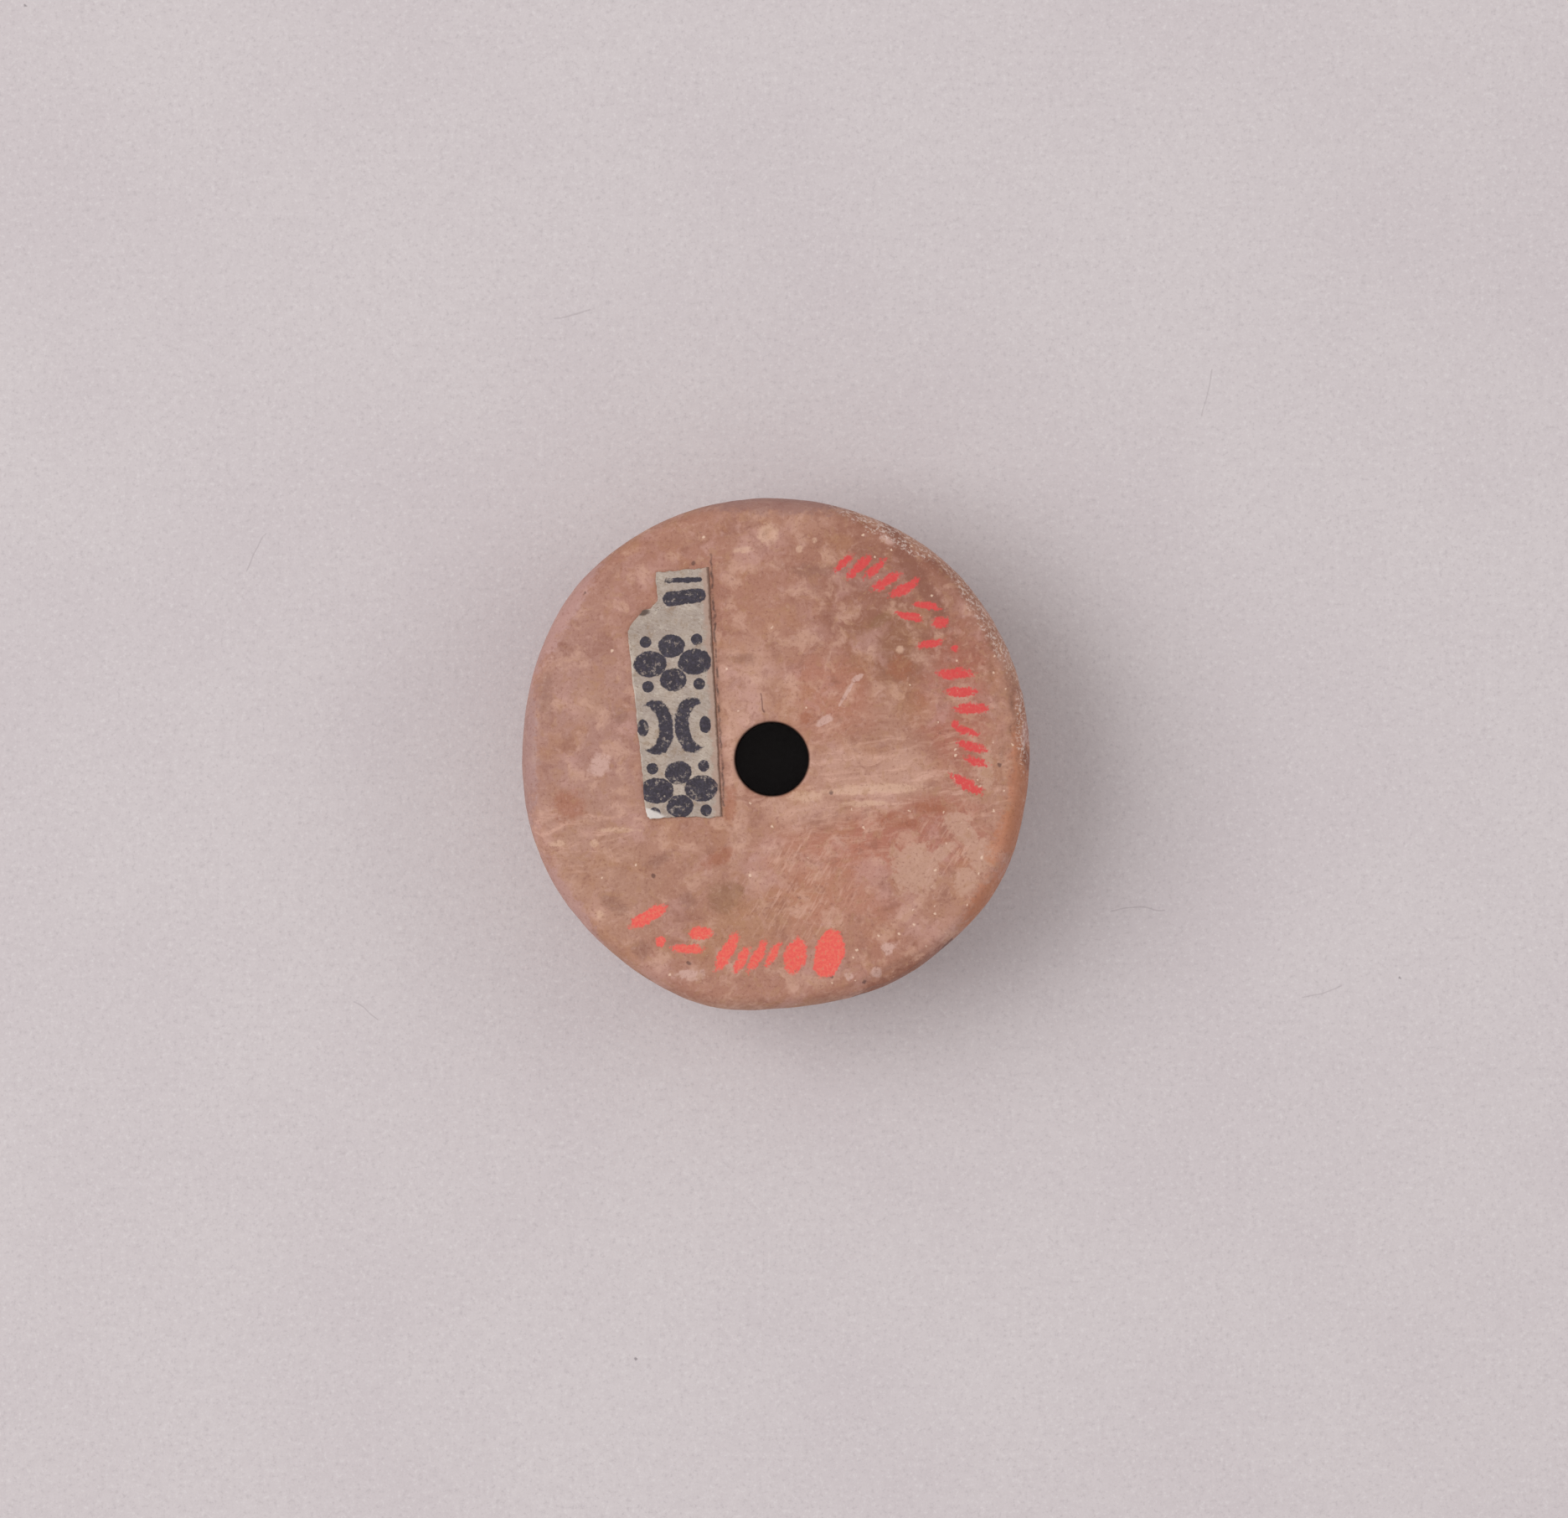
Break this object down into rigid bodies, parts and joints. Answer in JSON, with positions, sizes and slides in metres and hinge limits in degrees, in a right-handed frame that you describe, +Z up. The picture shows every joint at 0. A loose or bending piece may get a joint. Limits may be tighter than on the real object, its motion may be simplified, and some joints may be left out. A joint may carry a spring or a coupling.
{
  "type": "spindle whorl",
  "caption": "Small ivory spindle whorl with a flat face, a domed underside and a straight central hole, with a torn strip of old paper stuck to its face.",
  "frame": {"origin": "on the axis of the spindle hole, at the height of the small flat foot that the whorl rests on, which is the bottom centre of its box to within half a millimetre because the rim is slightly off centre", "axes": "+Z up along the spindle hole towards the flat face, +X to the right and +Y away from the viewer who reads the face with the paper strip left of the hole"},
  "size_m": [0.0296, 0.03, 0.0121],
  "materials": {
    "ivory": "satin",
    "paper": "matte"
  },
  "bodies": {
    "root": {"whorl": "ivory", "paper_strip": "paper"}
  },
  "joints": []
}
